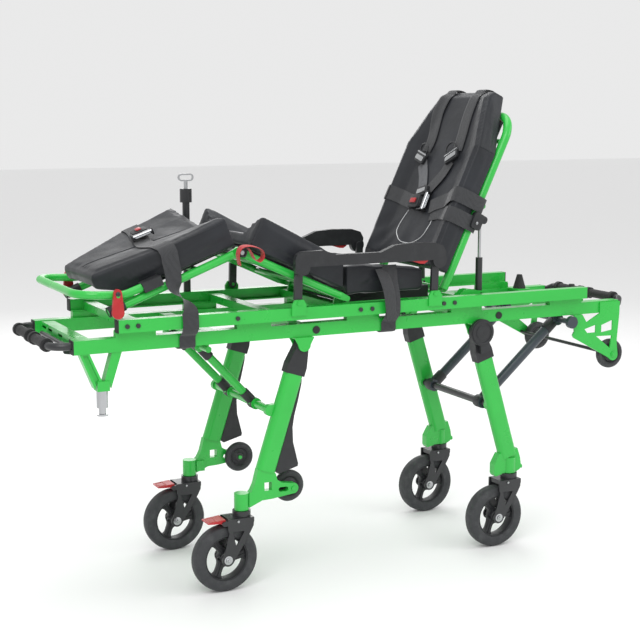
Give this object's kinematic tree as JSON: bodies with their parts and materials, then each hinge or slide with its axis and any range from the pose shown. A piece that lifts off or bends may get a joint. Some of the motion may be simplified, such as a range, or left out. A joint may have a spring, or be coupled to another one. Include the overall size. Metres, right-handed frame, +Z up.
{
  "type": "stretcher trolley",
  "caption": "Wheeled stretcher trolley with folding leg pairs, raised backrest, knee-break couch, fold-down armrests, carrying handles and a telescopic drip pole",
  "frame": {"origin": "centre of the bounding box in X and Y, on the floor", "axes": "+X to the head end (backrest), +Y to the left of someone facing the head end, +Z up"},
  "size_m": [1.9848, 0.55, 1.4639],
  "materials": {
    "paint_green": "glossy bright green powder coat on aluminium and steel",
    "black_metal": "satin black paint on steel",
    "black_plastic": "moulded black plastic with a fine grain",
    "rubber": "black rubber",
    "tyre": "dark grey rubber tyre on a black nylon rim",
    "vinyl": "black wipe-clean coated fabric over foam",
    "slate_metal": "dark slate-grey coat on steel tube",
    "bright_steel": "bright steel",
    "chrome": "polished chrome plate",
    "red_plastic": "red moulded plastic"
  },
  "bodies": {
    "frame": {"lower_rails": "paint_green", "upper_rails": "paint_green", "base_crossmembers": "paint_green", "upper_crossmembers": "paint_green", "leg_hinge_brackets": "paint_green", "lock_peg_bracket": "paint_green", "lock_peg": "chrome", "loading_brackets": "paint_green", "rubber_caps": "rubber", "rail_bolts": "bright_steel", "handle_bars": "black_metal", "handle_grips": "rubber", "armrest_brackets": "paint_green", "seat_base": "black_plastic", "seat_cushion": "vinyl", "iv_pole_tube": "black_metal"},
    "release_handle": {"release_handle": "black_metal"},
    "iv_pole_rod": {"iv_pole_rod": "bright_steel"},
    "foot_legs": {"foot_legs": "paint_green", "foot_leg_plastics": "black_plastic"},
    "foot_braces": {"foot_braces": "paint_green"},
    "head_legs": {"head_legs": "paint_green", "head_leg_covers": "black_plastic", "head_cross_tube": "black_metal"},
    "head_braces": {"head_braces": "slate_metal"},
    "backrest": {"backrest_frame": "paint_green", "backrest_board": "black_plastic", "backrest_cushion": "vinyl"},
    "strut_cylinders": {"strut_cylinders": "black_metal"},
    "strut_rods": {"strut_rods": "bright_steel"},
    "thigh": {"thigh_frame": "paint_green", "thigh_board": "black_plastic", "thigh_cushion": "vinyl"},
    "calf": {"calf_frame": "paint_green", "calf_fittings": "black_plastic", "calf_cushion": "vinyl"},
    "foot_caster_fork_left": {"foot_caster_fork_left": "black_metal"},
    "foot_caster_wheel_left": {"foot_caster_wheel_left": "tyre"},
    "head_caster_fork_left": {"head_caster_fork_left": "black_metal"},
    "head_caster_wheel_left": {"head_caster_wheel_left": "tyre"},
    "brake_pedal_left": {"brake_pedal_left": "red_plastic"},
    "transit_wheel_left": {"transit_wheel_left": "tyre"},
    "loading_wheel_left": {"loading_wheel_left": "tyre"},
    "foot_caster_fork_right": {"foot_caster_fork_right": "black_metal"},
    "foot_caster_wheel_right": {"foot_caster_wheel_right": "tyre"},
    "head_caster_fork_right": {"head_caster_fork_right": "black_metal"},
    "head_caster_wheel_right": {"head_caster_wheel_right": "tyre"},
    "brake_pedal_right": {"brake_pedal_right": "red_plastic"},
    "transit_wheel_right": {"transit_wheel_right": "tyre"},
    "loading_wheel_right": {"loading_wheel_right": "tyre"},
    "foot_lever_left": {"foot_lever_left": "red_plastic"},
    "armrest_front_post_left": {"armrest_front_post_left": "black_metal"},
    "armrest_rear_post_left": {"armrest_rear_post_left": "black_metal"},
    "armrest_beam_left": {"armrest_beam_left": "black_plastic"},
    "armrest_trigger_left": {"armrest_trigger_left": "red_plastic"},
    "foot_lever_right": {"foot_lever_right": "red_plastic"},
    "armrest_front_post_right": {"armrest_front_post_right": "black_metal"},
    "armrest_rear_post_right": {"armrest_rear_post_right": "black_metal"},
    "armrest_beam_right": {"armrest_beam_right": "black_plastic"},
    "armrest_trigger_right": {"armrest_trigger_right": "red_plastic"}
  },
  "joints": [
    {"name": "foot_legs_fold", "type": "hinge", "parent": "frame", "child": "foot_legs", "pos_m": [-0.2265, 0, 0.718], "axis": [0, 1, 0], "range_deg": [0, 42]},
    {"name": "foot_braces_hinge", "type": "hinge", "parent": "foot_legs", "child": "foot_braces", "pos_m": [-0.3285, 0, 0.527], "axis": [0, 1, 0], "range_deg": [-73.39, 1]},
    {"name": "head_legs_fold", "type": "hinge", "parent": "frame", "child": "head_legs", "pos_m": [0.3865, 0, 0.712], "axis": [0, 1, 0], "range_deg": [0, 62]},
    {"name": "head_braces_hinge", "type": "hinge", "parent": "head_legs", "child": "head_braces", "pos_m": [0.4495, 0, 0.467], "axis": [0, 1, 0], "range_deg": [-49.47, 1]},
    {"name": "foot_caster_swivel_left", "type": "hinge", "parent": "foot_legs", "child": "foot_caster_fork_left", "pos_m": [-0.4235, 0.213, 0.25], "axis": [0, 0, 1], "continuous": true},
    {"name": "foot_caster_roll_left", "type": "hinge", "parent": "foot_caster_fork_left", "child": "foot_caster_wheel_left", "pos_m": [-0.4795, 0.213, 0.1], "axis": [0, 1, 0], "continuous": true},
    {"name": "head_caster_swivel_left", "type": "hinge", "parent": "head_legs", "child": "head_caster_fork_left", "pos_m": [0.5195, 0.216, 0.25], "axis": [0, 0, 1], "continuous": true},
    {"name": "head_caster_roll_left", "type": "hinge", "parent": "head_caster_fork_left", "child": "head_caster_wheel_left", "pos_m": [0.4635, 0.216, 0.1], "axis": [0, 1, 0], "continuous": true},
    {"name": "brake_pedal_press_left", "type": "hinge", "parent": "foot_caster_fork_left", "child": "brake_pedal_left", "pos_m": [-0.4895, 0.213, 0.21], "axis": [0, 1, 0], "range_deg": [-14, 0]},
    {"name": "transit_wheel_spin_left", "type": "hinge", "parent": "foot_legs", "child": "transit_wheel_left", "pos_m": [-0.26, 0.191, 0.2855], "axis": [0, 1, 0], "continuous": true},
    {"name": "loading_wheel_spin_left", "type": "hinge", "parent": "frame", "child": "loading_wheel_left", "pos_m": [0.922, 0.205, 0.597], "axis": [0, 1, 0], "continuous": true},
    {"name": "foot_caster_swivel_right", "type": "hinge", "parent": "foot_legs", "child": "foot_caster_fork_right", "pos_m": [-0.4235, -0.213, 0.25], "axis": [0, 0, 1], "continuous": true},
    {"name": "foot_caster_roll_right", "type": "hinge", "parent": "foot_caster_fork_right", "child": "foot_caster_wheel_right", "pos_m": [-0.4795, -0.213, 0.1], "axis": [0, 1, 0], "continuous": true},
    {"name": "head_caster_swivel_right", "type": "hinge", "parent": "head_legs", "child": "head_caster_fork_right", "pos_m": [0.5195, -0.216, 0.25], "axis": [0, 0, 1], "continuous": true},
    {"name": "head_caster_roll_right", "type": "hinge", "parent": "head_caster_fork_right", "child": "head_caster_wheel_right", "pos_m": [0.4635, -0.216, 0.1], "axis": [0, 1, 0], "continuous": true},
    {"name": "brake_pedal_press_right", "type": "hinge", "parent": "foot_caster_fork_right", "child": "brake_pedal_right", "pos_m": [-0.4895, -0.213, 0.21], "axis": [0, 1, 0], "range_deg": [-14, 0]},
    {"name": "transit_wheel_spin_right", "type": "hinge", "parent": "foot_legs", "child": "transit_wheel_right", "pos_m": [-0.26, -0.191, 0.2855], "axis": [0, 1, 0], "continuous": true},
    {"name": "loading_wheel_spin_right", "type": "hinge", "parent": "frame", "child": "loading_wheel_right", "pos_m": [0.922, -0.205, 0.597], "axis": [0, 1, 0], "continuous": true},
    {"name": "backrest_tilt", "type": "hinge", "parent": "frame", "child": "backrest", "pos_m": [0.2715, 0, 0.85], "axis": [0, 1, 0], "range_deg": [-6, 62]},
    {"name": "strut_swing", "type": "hinge", "parent": "frame", "child": "strut_cylinders", "pos_m": [0.4165, 0, 0.826], "axis": [0, 1, 0], "range_deg": [-9.14, 85.1]},
    {"name": "strut_extend", "type": "slide", "parent": "strut_cylinders", "child": "strut_rods", "axis": [0, 0, 1], "range_m": [-0.1309, 0.0136]},
    {"name": "thigh_lift", "type": "hinge", "parent": "frame", "child": "thigh", "pos_m": [-0.0785, 0, 0.845], "axis": [0, 1, 0], "range_deg": [-24, 0]},
    {"name": "calf_hinge", "type": "hinge", "parent": "thigh", "child": "calf", "pos_m": [-0.4255, 0, 1], "axis": [0, 1, 0], "range_deg": [-1, 46.79]},
    {"name": "foot_lever_turn_left", "type": "hinge", "parent": "calf", "child": "foot_lever_left", "pos_m": [-0.7965, 0.243, 0.8985], "axis": [0, 1, 0], "range_deg": [0, 40]},
    {"name": "armrest_fold_left", "type": "hinge", "parent": "frame", "child": "armrest_front_post_left", "pos_m": [-0.2535, 0.245, 0.846], "axis": [0, 1, 0], "range_deg": [-80, 0]},
    {"name": "armrest_rear_link_left", "type": "hinge", "parent": "frame", "child": "armrest_rear_post_left", "pos_m": [0.2085, 0.245, 0.846], "axis": [0, 1, 0], "range_deg": [-81, 1]},
    {"name": "armrest_beam_level_left", "type": "hinge", "parent": "armrest_front_post_left", "child": "armrest_beam_left", "pos_m": [-0.2505, 0.26, 0.952], "axis": [0, 1, 0], "range_deg": [-1, 81]},
    {"name": "armrest_trigger_press_left", "type": "hinge", "parent": "armrest_beam_left", "child": "armrest_trigger_left", "pos_m": [0.074, 0.266, 0.962], "axis": [0, 1, 0], "range_deg": [-8, 0], "stiffness_Nm_per_rad": 0.4, "springref_deg": 5.73},
    {"name": "foot_lever_turn_right", "type": "hinge", "parent": "calf", "child": "foot_lever_right", "pos_m": [-0.7965, -0.243, 0.8985], "axis": [0, 1, 0], "range_deg": [0, 40]},
    {"name": "armrest_fold_right", "type": "hinge", "parent": "frame", "child": "armrest_front_post_right", "pos_m": [-0.2535, -0.245, 0.846], "axis": [0, 1, 0], "range_deg": [-80, 0]},
    {"name": "armrest_rear_link_right", "type": "hinge", "parent": "frame", "child": "armrest_rear_post_right", "pos_m": [0.2085, -0.245, 0.846], "axis": [0, 1, 0], "range_deg": [-81, 1]},
    {"name": "armrest_beam_level_right", "type": "hinge", "parent": "armrest_front_post_right", "child": "armrest_beam_right", "pos_m": [-0.2505, -0.26, 0.952], "axis": [0, 1, 0], "range_deg": [-1, 81]},
    {"name": "armrest_trigger_press_right", "type": "hinge", "parent": "armrest_beam_right", "child": "armrest_trigger_right", "pos_m": [0.074, -0.266, 0.962], "axis": [0, 1, 0], "range_deg": [-8, 0], "stiffness_Nm_per_rad": 0.4, "springref_deg": 5.73},
    {"name": "iv_pole_extend", "type": "slide", "parent": "frame", "child": "iv_pole_rod", "axis": [0, 0, 1], "range_m": [0, 0.28]},
    {"name": "release_handle_pull", "type": "hinge", "parent": "frame", "child": "release_handle", "pos_m": [-0.874, 0, 0.729], "axis": [0, 1, 0], "range_deg": [0, 10], "stiffness_Nm_per_rad": 3, "springref_deg": -5.73}
  ],
  "couplings": [
    {"joint": "foot_braces_hinge", "follows": "foot_legs_fold", "ratio": -1.7236},
    {"joint": "head_braces_hinge", "follows": "head_legs_fold", "ratio": -0.78183},
    {"joint": "strut_swing", "follows": "backrest_tilt", "ratio": 1.3565},
    {"joint": "strut_extend", "follows": "backrest_tilt", "m_per_rad": -0.12002},
    {"joint": "calf_hinge", "follows": "thigh_lift", "ratio": -1.9079},
    {"joint": "armrest_rear_link_left", "follows": "armrest_fold_left", "ratio": 1},
    {"joint": "armrest_beam_level_left", "follows": "armrest_fold_left", "ratio": -1},
    {"joint": "armrest_rear_link_right", "follows": "armrest_fold_right", "ratio": 1},
    {"joint": "armrest_beam_level_right", "follows": "armrest_fold_right", "ratio": -1}
  ]
}
